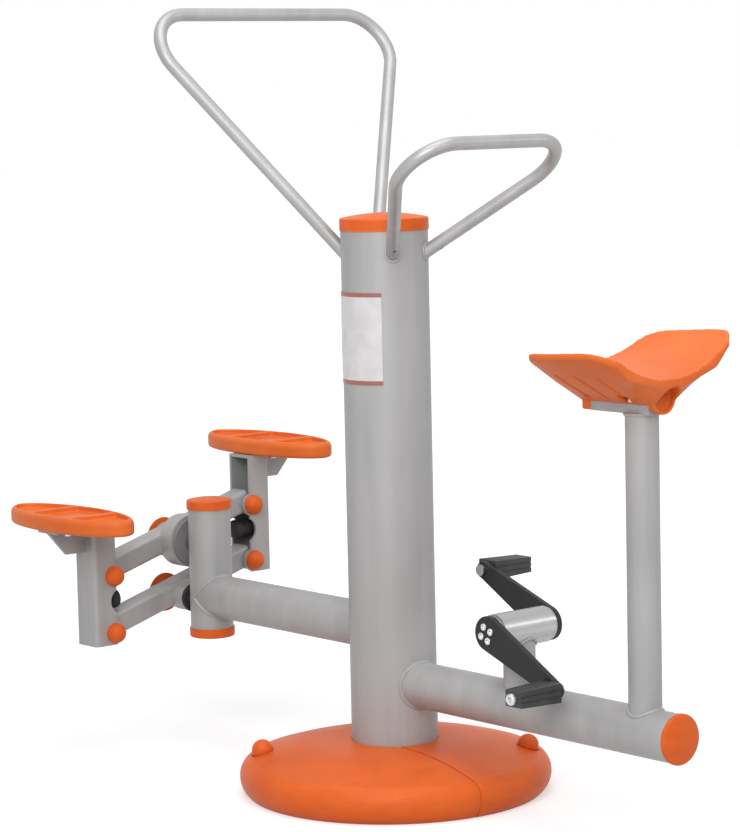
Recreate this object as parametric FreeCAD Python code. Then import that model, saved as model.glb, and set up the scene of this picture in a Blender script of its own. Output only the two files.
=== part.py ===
# Outdoor bike and stepper station. A round post on a covered base carries two low arms: one towards +X with
# a saddle and pedal cranks, one towards -X with a see-saw stepper. Each side has its own tube handle.
# Millimetres, +Z up, origin on the ground on the post's axis. "Near" pieces lie towards -Y, "far" towards +Y.
import FreeCAD, Part
import math
import os
from FreeCAD import Placement, Rotation, Vector

os.makedirs("parts", exist_ok=True)

# Fits
FIT = 0.05               # radial clearance of shafts, bushes and plugs
SIDE_GAP = 0.5           # side clearance beside parts that turn
FACE_GAP = 1.0           # clearance between a turning face and a fixed one

# Base plate and its cover
BASE_D = 540.0
BASE_T = 12.0
ANCHOR_PCD = 440.0
ANCHOR_COUNT = 4
ANCHOR_HOLE_D = 22.0
BASE_GUSSET_COUNT = 4
BASE_GUSSET_LENGTH = 120.0
BASE_GUSSET_HEIGHT = 62.0
BASE_GUSSET_T = 8.0
BASE_GUSSET_TOE = 12.0
COVER_ROOM = 17.0        # between the base plate and the cover's foot
COVER_BULGE = 16.0       # widest ring of the cover beyond its foot
COVER_R_HEIGHT = 45.0
COVER_SHOULDER_IN = 28.0     # from the widest ring in to the shoulder
COVER_SHOULDER_HEIGHT = 72.0
COVER_TOP = 102.0        # at the post
COVER_WALL = 4.0
COVER_POST_GAP = 1.0
COVER_FLOOR_GAP = 0.5
COVER_SEAM = 0.8
COVER_TONGUE = 46.0      # each half's edge reaches this far past the middle on one side
COVER_STEP = 1.5         # the other half dips under that edge
COVER_STEP_WIDTH = 9.0
COVER_BOLT_IN = 16.0     # from the shoulder in to each bolt
COVER_BOLT_ANGLE = 49.6  # from the X axis
COVER_BOSS_D = 48.0
COVER_BOSS_TOP = 69.0    # floor of the round pocket that the ball cap sits in
COVER_POCKET_R = 22.0
COVER_BOSS_DEPTH = 28.0
PILLAR_D = 26.0
COVER_BOLT_D = 10.0
COVER_BOLT_LENGTH = 52.0
COVER_BOLT_FLATS = 17.0
COVER_BOLT_HEAD = 6.4

# Ball-shaped caps over bolt heads and nuts
BALL_R = 21.0
BALL_SKIRT = 3.0
KNOB_RISE = 13.0         # centre of the cover's ball caps above their seat
CAP_WALL = 2.6

# Main post
POST_D = 168.3
POST_WALL = 5.0
POST_TOP = 1091.0
POST_CAP_OVERHANG = 1.6
POST_CAP_SIDE = 24.0
POST_CAP_DOME = 9.0
CAP_PLUG = 22.0          # length of every tube cap's plug
CAP_EDGE_R = 3.5         # round edge of every tube cap's lid
INFO_WIDTH = 130.0       # bare plate on the post, along the curve
INFO_HEIGHT = 175.0
INFO_BOTTOM = 800.0
INFO_T = 1.0
INFO_GLUE = 0.3
INFO_FACING = -90.0      # degrees from +X

# Tube handles
HANDLE_D = 25.4
HANDLE_WALL = 3.0
HANDLE_BEND_R = 80.0
HANDLE_FOOT_Z = 1049.0
HANDLE_FOOT_ANGLE = 30.0
STEPPER_BAR_REACH = 352.0
STEPPER_BAR_Z = 1510.0
STEPPER_BAR_HALF = 338.0
BIKE_BAR_REACH = 328.0
BIKE_BAR_Z = 1258.0
BIKE_BAR_HALF = 244.0
VENT_D = 7.0
VENT_FROM_POST = 16.0

# Low arms
ARM_D = 88.9
ARM_WALL = 4.0
ARM_CAP_OVERHANG = 1.4
ARM_CAP_SIDE = 7.0
ARM_CAP_DOME = 5.0

# Stepper column and pivots
STEPPER_ARM_Z = 315.0
COLUMN_X = -583.0
COLUMN_BELOW_ARM = 67.0
COLUMN_ABOVE_ARM = 183.0
COLUMN_CAP_OVERHANG = 2.6
COLUMN_CAP_SIDE = 19.0
COLUMN_CAP_DOME = 5.0
BEAM_X = -708.0          # middle plane of both beams
UPPER_PIVOT_Z = 422.0
PIVOT_SPACING = 120.0
PIVOT_TAIL_D = 20.0      # threaded end of both shafts
PIVOT_NUT_FLATS = 30.0
PIVOT_NUT_T = 12.0
PIVOT_TAIL_SPARE = 3.0
PIVOT_WASHER_D = 50.0
PIVOT_WASHER_T = 5.0
PIVOT_CAP_R = 41.0
PIVOT_CAP_RISE = 22.0
PIVOT_CAP_HOLE_D = 40.0  # in the cap's base, round the nut
UPPER_SHAFT_D = 25.0
UPPER_COLLAR_D = 46.0
UPPER_SHIELD_D = 98.0    # painted disc that covers the upper hub's end
LOWER_SHAFT_D = 25.0
LOWER_COLLAR_D = 36.0
LOWER_SEAL_D = 60.0
SEAL_LENGTH = 9.0

# Stepper beams
REST_TILT = 16.5         # near end down
BEAM_ARM = 192.0         # pivot to foot pin
BEAM_WIDTH = 50.0
BEAM_HEIGHT = 46.0
BEAM_EDGE_R = 8.0
BEAM_RAISE = 10.0        # arms' middle above the line of pivot and pins
HUB_INNER = 60.0         # hub end towards the column, from the beams' middle plane
HUB_OUTER = 32.0
HOUSING_LENGTH = 40.0    # wider part of a hub beside the column
UPPER_HOUSING_D = 110.0
UPPER_HUB_D = 64.0
UPPER_BORE_D = 52.0
UPPER_BEARING_W = 15.0
LOWER_HOUSING_D = 58.0
LOWER_HUB_D = 52.0
LOWER_BORE_D = 32.0
LOWER_BUSH_LENGTH = 30.0
EYE_D = 44.0
EYE_BORE_D = 28.0

# Stepper feet
FOOT_WIDTH = 70.0        # along X, over the flanges
FOOT_WALL = 6.0
FOOT_BEND_R = 9.0        # outside radius of the channel's two bends
FOOT_WEB_OUT = 48.0      # pin to the web's outer face
FOOT_EDGE_IN = 6.0       # pin to the flanges' inner edge
FOOT_LOBE_R = 24.0
FOOT_BELOW_PIN = 25.0
FOOT_BOLT_D = 18.0
FOOT_BOLT_FLATS = 27.0
FOOT_BOLT_HEAD = 11.5
FOOT_BOLT_SPARE = 3.0
BUFFER_D = 40.0
BUFFER_IN = 30.0         # pin to the buffer's free face
BUFFER_RISE = 66.0       # above the lower pin
NOTCH_R = 26.0           # round notch in the flanges beside the buffer
NOTCH_DEPTH = 14.0
CARRIER_WIDTH = 70.0
CARRIER_T = 6.0
CARRIER_OUT = 88.0       # beyond the web
FOOT_GUSSET_T = 8.0
FOOT_GUSSET_DEPTH = 48.0
FOOT_GUSSET_FOOT = 46.0
PLATE_RISE = 140.0       # upper pin to the plate's top
PLATE_OUT = 76.0         # pin to the plate's middle
PLATE_LENGTH = 390.0
PLATE_WIDTH = 150.0
PLATE_T = 34.0
PLATE_RIM = 13.0
PLATE_RECESS = 12.0
PLATE_EDGE_R = 6.0
PLATE_RIB = 14.0
PLATE_RIB_X = 70.0
PLATE_SCREW_D = 8.0
PLATE_SCREW_HEAD_D = 14.0
PLATE_SCREW_HEAD = 5.0
PLATE_SCREW_DEPTH = 14.0
PLATE_SCREW_X = 27.0
PLATE_SCREW_OUT = (64.0, 104.0)  # pin to each screw row

# Bike arm, crank and pedals
BIKE_ARM_Z = 217.0
BIKE_ARM_BEYOND = 81.0   # past the seat post's axis
CRANK_X = 360.0
CRANK_Z = 363.0
BRACKET_D = 60.3
BRACKET_WALL = 4.0
SHELL_D = 68.0
SHELL_BORE_D = 52.0
SHELL_HALF = 62.0
CRANK_BEARING_W = 15.0
CRANK_AXLE_D = 25.0
CRANK_FLANGE_D = 64.0
CRANK_FLANGE_T = 5.0
CRANK_T = 13.0
CRANK_HUB_R = 32.5
CRANK_TIP_R = 16.0
CRANK_EDGE_R = 2.5
CRANK_LENGTH = 192.0
CRANK_DROP = 25.0        # near crank below the level, degrees
CRANK_SCREW_COUNT = 4
CRANK_SCREW_PCD = 27.0
CRANK_SCREW_D = 6.0
CRANK_SCREW_HEAD_D = 11.0
CRANK_SCREW_HEAD = 4.0
PEDAL_AXLE_D = 14.0
PEDAL_HEAD_D = 22.0
PEDAL_HEAD = 6.0
PEDAL_LENGTH = 96.0
PEDAL_ROOT = (48.0, 36.0)    # width and height beside the crank
PEDAL_END = (42.0, 30.0)     # width and height at the free end
PEDAL_CORNER_R = 7.0
PEDAL_NUT_FLATS = 20.0
PEDAL_NUT_T = 7.0

# Saddle and its post
SEAT_POST_X = 685.0
SEAT_POST_D = 60.3
SEAT_POST_WALL = 3.6
SEAT_POST_TOP = 786.0
MOUNT_FRONT = 103.0      # reach of the mount bar before the post's axis
MOUNT_REAR = 39.0
MOUNT_WIDTH = 46.0
MOUNT_T = 17.0
MOUNT_RIB_T = 10.0
MOUNT_RIB_H = 30.0
MOUNT_RIB_INSET = 5.0
# Saddle sections, front to rear: X from the post's axis, half width, heights of rim and trough above the
# mount bar, then half width and height at the flanks' bend, and the keel's height
SADDLE_SECTIONS = ((-129.0, 147.0, 98.0, 64.0, 86.0, 41.0, 0.0),
                   (-105.0, 166.0, 104.0, 63.0, 94.0, 43.0, 0.0),
                   (-45.0, 173.0, 107.0, 61.0, 98.0, 45.0, 0.0),
                   (15.0, 173.0, 110.0, 58.0, 99.0, 47.0, 0.0),
                   (58.0, 168.0, 109.0, 53.0, 99.0, 50.0, 4.0),
                   (85.0, 142.0, 98.0, 47.0, 107.0, 54.0, 31.0))
SADDLE_KEEL = 48.0       # width of the hull's underside
SADDLE_RIM_T = 14.0
SADDLE_CANT = 3.1        # the saddle leans to the near side, degrees
SADDLE_LIP_DEPTH = 18.0  # front lip over the end of the mount bar
SADDLE_BOSS_D = 56.0
SADDLE_BOSS_LENGTH = 17.5
SADDLE_BOSS_RAISE = 11.0
SADDLE_SOCKET_D = 46.0
SADDLE_SOCKET_DEPTH = 12.0
SADDLE_HOLE_D = 11.0     # blind moulded hole in both flanks of the lip
SADDLE_HOLE_DEPTH = 10.0
SADDLE_HOLE_X = -112.0
SADDLE_BOLT_D = 8.0
SADDLE_BOLT_FLATS = 13.0
SADDLE_BOLT_HEAD = 5.5
SADDLE_NUT_T = 6.5
SADDLE_BOLT_X = 0.0      # from the seat post's axis
SADDLE_BOLT_UP = 10.5
SADDLE_POCKET_D = 19.0

X_AXIS = Vector(1, 0, 0)
Y_AXIS = Vector(0, 1, 0)
Z_AXIS = Vector(0, 0, 1)
NEAR, FAR = -1, 1

POST_R = POST_D / 2
ARM_R = ARM_D / 2
COVER_FLOOR_R = BASE_D / 2 + COVER_ROOM
COVER_R = COVER_FLOOR_R + COVER_BULGE
COVER_SHOULDER_R = COVER_R - COVER_SHOULDER_IN
COVER_BOLT_R = COVER_SHOULDER_R - COVER_BOLT_IN
ORIGIN = Vector(0, 0, 0)


def save(node, *solids):
    """Write one node: a single solid, or a group of separate ones."""
    shape = solids[0] if len(solids) == 1 else Part.makeCompound(list(solids))
    shape.exportStep("parts/%s.step" % node)


def placed(shape, point, direction):
    """A shape built upright at the origin, moved to a point and turned from +Z to a direction."""
    return shape.transformed(Placement(point, Rotation(Z_AXIS, direction)).toMatrix(), True)


def rod(radius, start, end):
    axis = end - start
    return Part.makeCylinder(radius, axis.Length, start, axis)


def pipe(outer_d, inner_d, start, end):
    return rod(outer_d / 2, start, end).cut(rod(inner_d / 2, start, end))


def block(a, b):
    """Box between two opposite corners, in any order."""
    low = Vector(min(a.x, b.x), min(a.y, b.y), min(a.z, b.z))
    return Part.makeBox(abs(a.x - b.x), abs(a.y - b.y), abs(a.z - b.z), low)


def slab(points, thickness_vector):
    """Flat polygon extruded along a vector."""
    return Part.Face(Part.makePolygon(points + points[:1])).extrude(thickness_vector)


def joined(first, *others):
    solid = first.multiFuse(list(others)).removeSplitter()
    return solid.Solids[0] if len(solid.Solids) == 1 else solid


def turned(start, *steps):
    """Solid of revolution about Z. A step is a point (r, z), or two points for an arc through the first."""
    edges = []
    here = Vector(start[0], 0, start[1])
    for step in steps + (start,):
        if isinstance(step[0], tuple):
            through = Vector(step[0][0], 0, step[0][1])
            end = Vector(step[1][0], 0, step[1][1])
            edges.append(Part.Arc(here, through, end).toShape())
        else:
            end = Vector(step[0], 0, step[1])
            edges.append(Part.LineSegment(here, end).toShape())
        here = end
    return Part.Face(Part.Wire(edges)).revolve(ORIGIN, Z_AXIS, 360)


def crown(radius, rise, height):
    """Arc step from a dome's top on the axis down to its edge at the given height."""
    sphere = (radius ** 2 + rise ** 2) / (2 * rise)
    halfway = height + rise - sphere + math.sqrt(sphere ** 2 - (radius / 2) ** 2)
    return ((radius / 2, halfway), (radius, height))


def hexagon(flats, height, base, axis):
    corner = flats / math.sqrt(3)
    points = [Vector(corner * math.cos(math.radians(60 * k)), corner * math.sin(math.radians(60 * k)), 0)
              for k in range(6)]
    return placed(slab(points, Z_AXIS * height), base, axis)


def hex_bolt(flats, head, diameter, length, seat, into):
    """Bolt whose head stands on the seat and whose shank goes the other way."""
    return joined(hexagon(flats, head, seat, into * -1), rod(diameter / 2, seat, seat + into * length))


def hex_nut(flats, thickness, diameter, seat, outward):
    hole = rod(diameter / 2 + FIT, seat, seat + outward * thickness)
    return hexagon(flats, thickness, seat, outward).cut(hole)


def dome_cap(radius, rise, seat, outward):
    """Hollow dome on a short skirt, pressed over a bolt head or nut."""
    inner = radius - CAP_WALL
    inner_top = BALL_SKIRT + rise - CAP_WALL
    inner_mid = crown(inner, rise - CAP_WALL, BALL_SKIRT)[0]
    shell = turned((0, BALL_SKIRT + rise), crown(radius, rise, BALL_SKIRT), (radius, 0), (inner, 0),
                   (inner, BALL_SKIRT), (inner_mid, (0, inner_top)))
    return placed(shell, seat, outward)


def ball_cap(seat, outward):
    return dome_cap(BALL_R, BALL_R, seat, outward)


def knob_cap(seat, outward):
    """Hollow ball cut off flat below its middle."""
    inner = BALL_R - CAP_WALL
    foot_r = math.sqrt(BALL_R ** 2 - KNOB_RISE ** 2)
    hollow_r = math.sqrt(inner ** 2 - KNOB_RISE ** 2)
    ball = turned((0, KNOB_RISE + BALL_R), ((BALL_R, KNOB_RISE), (foot_r, 0)), (hollow_r, 0),
                  ((inner, KNOB_RISE), (0, KNOB_RISE + inner)))
    return placed(ball, seat, outward)


def tube_cap(tube_d, wall, overhang, side, dome, end, outward):
    """Moulded cap: a domed lid over a tube's end with a hollow plug inside the tube."""
    rim = tube_d / 2 + overhang
    plug = tube_d / 2 - wall - FIT
    edge_mid = CAP_EDGE_R * (1 - math.sqrt(0.5))
    round_edge = ((rim - edge_mid, side - edge_mid), (rim, side - CAP_EDGE_R))
    lid = turned((0, side + dome), crown(rim - CAP_EDGE_R, dome, side), round_edge, (rim, 0), (plug, 0),
                 (plug, -CAP_PLUG), (plug - CAP_WALL, -CAP_PLUG), (plug - CAP_WALL, side - CAP_WALL),
                 (0, side - CAP_WALL))
    return placed(lid, end, outward)


def rounded_rectangle(x0, x1, y0, y1, radius, z):
    """Level wire with round corners, always started at the same corner so that two of them can be lofted."""
    edges = []
    corners = [(x1 - radius, y1 - radius, 0), (x0 + radius, y1 - radius, 90),
               (x0 + radius, y0 + radius, 180), (x1 - radius, y0 + radius, 270)]
    arcs = [[Vector(x + radius * math.cos(turn), y + radius * math.sin(turn), z)
             for turn in map(math.radians, (a, a + 45, a + 90))] for x, y, a in corners]
    for here, following in zip(arcs, arcs[1:] + arcs[:1]):
        edges.append(Part.Arc(*here).toShape())
        edges.append(Part.LineSegment(here[2], following[0]).toShape())
    return Part.Wire(edges)


# Base plate, its gussets and the pillars that carry the cover
base_plate = rod(BASE_D / 2, ORIGIN, Z_AXIS * BASE_T)
for hole in range(ANCHOR_COUNT):
    turn = 2 * math.pi * hole / ANCHOR_COUNT
    centre = Vector(math.cos(turn), math.sin(turn), 0) * (ANCHOR_PCD / 2)
    base_plate = base_plate.cut(rod(ANCHOR_HOLE_D / 2, centre, centre + Z_AXIS * BASE_T))
save("base_plate", base_plate)

post_solid = rod(POST_R, ORIGIN, Z_AXIS * POST_TOP)
gusset_profile = [Vector(POST_R - POST_WALL, 0, BASE_T),
                  Vector(POST_R + BASE_GUSSET_LENGTH, 0, BASE_T),
                  Vector(POST_R + BASE_GUSSET_LENGTH, 0, BASE_T + BASE_GUSSET_TOE),
                  Vector(POST_R + BASE_GUSSET_TOE, 0, BASE_T + BASE_GUSSET_HEIGHT),
                  Vector(POST_R - POST_WALL, 0, BASE_T + BASE_GUSSET_HEIGHT)]
gusset = slab(gusset_profile, Y_AXIS * BASE_GUSSET_T).translated(Y_AXIS * (-BASE_GUSSET_T / 2))
gusset = gusset.cut(post_solid)
gusset_step = 360 / BASE_GUSSET_COUNT
save("base_gussets", *[gusset.rotated(ORIGIN, Z_AXIS, gusset_step * (k + 0.5))
                       for k in range(BASE_GUSSET_COUNT)])

bolt_turn = math.radians(COVER_BOLT_ANGLE)
bolt_place = {side: Vector(math.cos(bolt_turn), math.sin(bolt_turn), 0) * (side * COVER_BOLT_R)
              for side in (NEAR, FAR)}
pillar_top = COVER_BOSS_TOP - COVER_BOSS_DEPTH
bolt_foot = COVER_BOSS_TOP - COVER_BOLT_LENGTH
bolt_hole = {side: rod(COVER_BOLT_D / 2 + FIT, bolt_place[side] + Z_AXIS * bolt_foot,
                       bolt_place[side] + Z_AXIS * COVER_TOP) for side in (NEAR, FAR)}
pillars = {side: rod(PILLAR_D / 2, bolt_place[side] + Z_AXIS * BASE_T, bolt_place[side] + Z_AXIS * pillar_top)
           for side in (NEAR, FAR)}
save("cover_pillars", *[pillars[side].cut(bolt_hole[side]) for side in (NEAR, FAR)])


# Base cover: a moulded dome in two equal halves. Each reaches over the other on one side of the post and dips
# under it on the other, and one bolt under a ball cap holds it.
def cover_dome(inset):
    """Solid under the cover's outer face, or under its inner face when inset by the wall."""
    floor_r = COVER_FLOOR_R - inset
    wide_r = COVER_R - inset
    shoulder_r = COVER_SHOULDER_R - inset / 2
    shoulder_z = COVER_SHOULDER_HEIGHT - inset
    top = COVER_TOP - inset
    lip_mid = (floor_r + 0.72 * (wide_r - floor_r), 0.32 * COVER_R_HEIGHT)
    shoulder_mid = (shoulder_r + 0.74 * (wide_r - shoulder_r),
                    COVER_R_HEIGHT + 0.55 * (shoulder_z - COVER_R_HEIGHT))
    crown_mid = ((shoulder_r + POST_R) / 2, shoulder_z + 0.76 * (top - shoulder_z))
    return turned((0, COVER_FLOOR_GAP), (floor_r, COVER_FLOOR_GAP), (lip_mid, (wide_r, COVER_R_HEIGHT)),
                  (shoulder_mid, (shoulder_r, shoulder_z)), (crown_mid, (POST_R, top)), (0, top))


cover_hollow = cover_dome(COVER_WALL)
cover = cover_dome(0).cut(cover_hollow).cut(rod(POST_R + COVER_POST_GAP, ORIGIN, Z_AXIS * POST_TOP))
cover_size = 2 * COVER_R
boss_top = {side: bolt_place[side] + Z_AXIS * COVER_BOSS_TOP for side in (NEAR, FAR)}
far_side = Vector(cover_size, cover_size, POST_TOP)
over_edge = block(Vector(0, -COVER_TONGUE, 0), far_side)
under_edge = COVER_TONGUE + COVER_SEAM
under_side = block(Vector(-cover_size, under_edge, 0), Vector(0, cover_size, POST_TOP))
dip = block(Vector(-cover_size, COVER_TONGUE, 0), Vector(0, under_edge + COVER_STEP_WIDTH, POST_TOP))
dip = cover_dome(0).cut(cover_dome(COVER_STEP)).common(dip)
boss = rod(COVER_BOSS_D / 2, bolt_place[FAR] + Z_AXIS * pillar_top, bolt_place[FAR] + Z_AXIS * COVER_TOP)
pocket = rod(COVER_POCKET_R, boss_top[FAR], bolt_place[FAR] + Z_AXIS * COVER_TOP)
far_half = cover.common(joined(over_edge, under_side)).cut(dip)
far_half = joined(far_half, boss.common(cover_dome(0))).cut(bolt_hole[FAR]).cut(pocket)
save("cover_far_half", far_half)
save("cover_near_half", far_half.rotated(ORIGIN, Z_AXIS, 180))
save("cover_bolts", *[hex_bolt(COVER_BOLT_FLATS, COVER_BOLT_HEAD, COVER_BOLT_D, COVER_BOLT_LENGTH,
                               boss_top[side], Z_AXIS * -1) for side in (NEAR, FAR)])
save("cover_bolt_caps", *[knob_cap(boss_top[side], Z_AXIS) for side in (NEAR, FAR)])

# Main post with its cap and the bare plate in the sticker's place
save("main_post", pipe(POST_D, POST_D - 2 * POST_WALL, Z_AXIS * BASE_T, Z_AXIS * POST_TOP))
save("post_cap", tube_cap(POST_D, POST_WALL, POST_CAP_OVERHANG, POST_CAP_SIDE, POST_CAP_DOME,
                          Z_AXIS * POST_TOP, Z_AXIS))
info_angle = math.degrees(INFO_WIDTH / POST_R)
info_back = POST_R + INFO_GLUE
info_plate = Part.makeCylinder(info_back + INFO_T, INFO_HEIGHT, Z_AXIS * INFO_BOTTOM, Z_AXIS, info_angle)
info_plate = info_plate.cut(rod(info_back, ORIGIN, Z_AXIS * POST_TOP))
save("info_plate", info_plate.rotated(ORIGIN, Z_AXIS, INFO_FACING - info_angle / 2))


# Tube handles: two legs welded to the post at their feet and one bar across, bent from a single tube
def bent_path(points, radius):
    """Straight runs through the points, with a tangent arc at every inner point."""
    edges = []
    here = points[0]
    for before, corner, after in zip(points, points[1:], points[2:]):
        back = (before - corner).normalize()
        ahead = (after - corner).normalize()
        half_angle = back.getAngle(ahead) / 2
        trim = radius / math.tan(half_angle)
        middle = corner + (back + ahead).normalize() * (radius / math.sin(half_angle) - radius)
        edges.append(Part.LineSegment(here, corner + back * trim).toShape())
        edges.append(Part.Arc(corner + back * trim, middle, corner + ahead * trim).toShape())
        here = corner + ahead * trim
    edges.append(Part.LineSegment(here, points[-1]).toShape())
    return Part.Wire(edges)


def swept(path, start, direction, radius):
    ring = Part.Wire([Part.Circle(start, direction, radius).toShape()])
    return path.makePipeShell([ring], True, False)


def handle(reach, bar_z, bar_half):
    """Loop on the +X side of the post (reach > 0) or on the -X side."""
    facing = math.copysign(1, reach)
    foot_turn = math.radians(HANDLE_FOOT_ANGLE)
    outward = {side: Vector(facing * math.cos(foot_turn), side * math.sin(foot_turn), 0)
               for side in (NEAR, FAR)}
    feet = {side: outward[side] * POST_R + Z_AXIS * HANDLE_FOOT_Z for side in (NEAR, FAR)}
    corners = {side: Vector(reach, side * bar_half, bar_z) for side in (NEAR, FAR)}
    legs = {side: (corners[side] - feet[side]).normalize() for side in (NEAR, FAR)}
    roots = {side: feet[side] - legs[side] * (HANDLE_D * 1.5) for side in (NEAR, FAR)}
    path = bent_path([roots[NEAR], corners[NEAR], corners[FAR], roots[FAR]], HANDLE_BEND_R)
    tube = swept(path, roots[NEAR], legs[NEAR], HANDLE_D / 2)
    tube = tube.cut(swept(path, roots[NEAR], legs[NEAR], HANDLE_D / 2 - HANDLE_WALL)).cut(post_solid)
    for side in (NEAR, FAR):
        across = (outward[side] - legs[side] * outward[side].dot(legs[side])).normalize()
        vent = feet[side] + legs[side] * (HANDLE_D / 2 + VENT_FROM_POST)
        tube = tube.cut(rod(VENT_D / 2, vent, vent + across * HANDLE_D))
    return tube


save("stepper_handle", handle(-STEPPER_BAR_REACH, STEPPER_BAR_Z, STEPPER_BAR_HALF))
save("bike_handle", handle(BIKE_BAR_REACH, BIKE_BAR_Z, BIKE_BAR_HALF))

# Stepper arm and column
column_bottom = Vector(COLUMN_X, 0, STEPPER_ARM_Z - COLUMN_BELOW_ARM)
column_top = Vector(COLUMN_X, 0, STEPPER_ARM_Z + COLUMN_ABOVE_ARM)
column_solid = rod(ARM_R, column_bottom, column_top)
stepper_arm = pipe(ARM_D, ARM_D - 2 * ARM_WALL, Vector(0, 0, STEPPER_ARM_Z),
                   Vector(COLUMN_X, 0, STEPPER_ARM_Z))
save("stepper_arm", stepper_arm.cut(post_solid).cut(column_solid))
save("column_caps", *[tube_cap(ARM_D, ARM_WALL, COLUMN_CAP_OVERHANG, COLUMN_CAP_SIDE, COLUMN_CAP_DOME,
                               end, outward)
                      for end, outward in ((column_top, Z_AXIS), (column_bottom, Z_AXIS * -1))])

# Pivot shafts through the column's outer wall, each with a collar, a shield or seal, a washer, a nut and
# a dome cap
upper_pivot = Vector(BEAM_X, 0, UPPER_PIVOT_Z)
lower_pivot = upper_pivot - Z_AXIS * PIVOT_SPACING
hub_inner = BEAM_X + HUB_INNER
hub_outer = BEAM_X - HUB_OUTER
collar_end = hub_inner + FACE_GAP
washer_seat = hub_outer - FACE_GAP
nut_seat = washer_seat - PIVOT_WASHER_T
tail_end = nut_seat - PIVOT_NUT_T - PIVOT_TAIL_SPARE
shaft_root = COLUMN_X + ARM_R - 2 * ARM_WALL
column = column_solid.cut(rod(ARM_R - ARM_WALL, column_bottom, column_top))


def at_x(pivot, x):
    return Vector(x, 0, pivot.z)


shafts = (("upper_pivot", "shield", upper_pivot, UPPER_SHAFT_D, UPPER_COLLAR_D, UPPER_SHIELD_D),
          ("lower_pivot", "seal", lower_pivot, LOWER_SHAFT_D, LOWER_COLLAR_D, LOWER_SEAL_D))
washers, nuts, caps = [], [], []
for name, disc, pivot, shaft_d, collar_d, disc_d in shafts:
    column = column.cut(rod(shaft_d / 2 + FIT, at_x(pivot, COLUMN_X), at_x(pivot, BEAM_X)))
    collar = rod(collar_d / 2, at_x(pivot, COLUMN_X), at_x(pivot, collar_end)).cut(column_solid)
    journal = rod(shaft_d / 2, at_x(pivot, shaft_root), at_x(pivot, washer_seat))
    tail = rod(PIVOT_TAIL_D / 2, at_x(pivot, washer_seat), at_x(pivot, tail_end))
    save(name + "_shaft", joined(journal, collar, tail))
    save(name + "_" + disc, pipe(disc_d, collar_d + 2 * FIT, at_x(pivot, collar_end),
                                 at_x(pivot, collar_end + SEAL_LENGTH)))
    washers.append(pipe(PIVOT_WASHER_D, PIVOT_TAIL_D + 2 * FIT, at_x(pivot, washer_seat),
                        at_x(pivot, nut_seat)))
    nuts.append(hex_nut(PIVOT_NUT_FLATS, PIVOT_NUT_T, PIVOT_TAIL_D, at_x(pivot, nut_seat), X_AXIS * -1))
    dome = dome_cap(PIVOT_CAP_R, PIVOT_CAP_RISE, at_x(pivot, nut_seat), X_AXIS * -1)
    caps.append(joined(dome, pipe(2 * PIVOT_CAP_R, PIVOT_CAP_HOLE_D, at_x(pivot, nut_seat),
                                  at_x(pivot, nut_seat - CAP_WALL))))
save("pivot_column", column)
save("pivot_washers", *washers)
save("pivot_nuts", *nuts)
save("pivot_caps", *caps)

# Stepper beams: a hub in the middle, an arm to each side and an eye at each end, tilted to the rest position
eye_length = FOOT_WIDTH - 2 * FOOT_WALL - 2 * SIDE_GAP
pin_reach = BEAM_ARM * math.cos(math.radians(REST_TILT))
pin_rise = BEAM_ARM * math.sin(math.radians(REST_TILT))


def along_x(point, length, radius):
    """Rod of a length along X, centred on a point."""
    return rod(radius, point - X_AXIS * (length / 2), point + X_AXIS * (length / 2))


def beam(pivot, housing_d, hub_d, bore_d):
    hub = rod(hub_d / 2, at_x(pivot, hub_inner), at_x(pivot, hub_outer))
    housing = rod(housing_d / 2, at_x(pivot, hub_inner), at_x(pivot, hub_inner - HOUSING_LENGTH))
    arms = block(pivot + Vector(-BEAM_WIDTH / 2, -BEAM_ARM, BEAM_RAISE - BEAM_HEIGHT / 2),
                 pivot + Vector(BEAM_WIDTH / 2, BEAM_ARM, BEAM_RAISE + BEAM_HEIGHT / 2))
    arms = arms.makeFillet(BEAM_EDGE_R, [e for e in arms.Edges if abs(e.tangentAt(0).y) > 0.5])
    ends = [pivot + Y_AXIS * (side * BEAM_ARM) for side in (NEAR, FAR)]
    solid = joined(hub, housing, arms, *[along_x(end, eye_length, EYE_D / 2) for end in ends])
    solid = solid.cut(rod(bore_d / 2, at_x(pivot, hub_inner), at_x(pivot, hub_outer)))
    for end in ends:
        solid = solid.cut(along_x(end, eye_length, EYE_BORE_D / 2))
    return solid.Solids[0].rotated(pivot, X_AXIS, REST_TILT)


def pin(pivot, side):
    """Centre of a beam's eye at rest."""
    return pivot + Vector(0, side * pin_reach, side * pin_rise)


def eye_bushes(pivot):
    return [along_x(pin(pivot, side), eye_length, EYE_BORE_D / 2 - FIT)
            .cut(along_x(pin(pivot, side), eye_length, FOOT_BOLT_D / 2 + FIT)) for side in (NEAR, FAR)]


def hub_rings(pivot, bore_d, shaft_d, length):
    """Bearing or bush flush with each end of a hub."""
    ends = ((hub_inner, hub_inner - length), (hub_outer, hub_outer + length))
    return [pipe(bore_d - 2 * FIT, shaft_d + 2 * FIT, at_x(pivot, a), at_x(pivot, b)) for a, b in ends]


save("upper_beam", beam(upper_pivot, UPPER_HOUSING_D, UPPER_HUB_D, UPPER_BORE_D))
save("upper_beam_bearings", *hub_rings(upper_pivot, UPPER_BORE_D, UPPER_SHAFT_D, UPPER_BEARING_W))
save("upper_beam_bushes", *eye_bushes(upper_pivot))
save("lower_beam", beam(lower_pivot, LOWER_HOUSING_D, LOWER_HUB_D, LOWER_BORE_D))
save("lower_beam_bushes", *hub_rings(lower_pivot, LOWER_BORE_D, LOWER_SHAFT_D, LOWER_BUSH_LENGTH),
     *eye_bushes(lower_pivot))


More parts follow.
